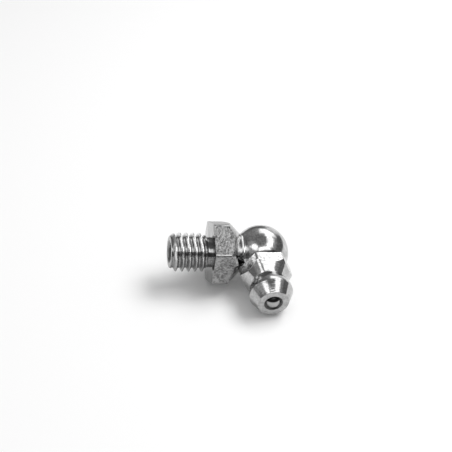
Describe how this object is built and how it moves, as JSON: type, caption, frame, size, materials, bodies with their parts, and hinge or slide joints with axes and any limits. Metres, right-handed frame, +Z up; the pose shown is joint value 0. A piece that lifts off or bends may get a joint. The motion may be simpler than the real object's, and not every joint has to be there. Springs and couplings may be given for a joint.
{
  "type": "grease nipple",
  "caption": "Right-angled M6 x 1 grease nipple: hexagon elbow with a ball knuckle, a hexagon-based coupling head at 90 degrees and a spring-loaded check ball, lying at rest",
  "frame": {"origin": "centre of the bounding box's base, on the surface that the nipple lies on", "axes": "+X runs along the body, away from the thread's end, which rises 7.9 degrees; the head points along -Y and droops 6.9 degrees; +Z is up"},
  "size_m": [0.0186, 0.0155, 0.0105],
  "materials": {
    "body_plate": "bright zinc plate, mottled on the hexagon and turned bright on the ball",
    "head_plate": "bright zinc plate with fine turning rings",
    "ball_steel": "ground bearing ball, satin",
    "spring_wire": "drawn spring wire"
  },
  "bodies": {
    "nipple": {"elbow_body": "body_plate", "nipple_head": "head_plate", "valve_spring": "spring_wire"},
    "check_ball": {"check_ball": "ball_steel"}
  },
  "joints": [
    {"name": "check_ball_slide", "type": "slide", "parent": "nipple", "child": "check_ball", "axis": [0.0167, 0.9926, 0.1204], "range_m": [0, 0.0059], "stiffness_N_per_m": 2000, "springref_m": -0.0003, "deforming": ["valve_spring"]}
  ]
}
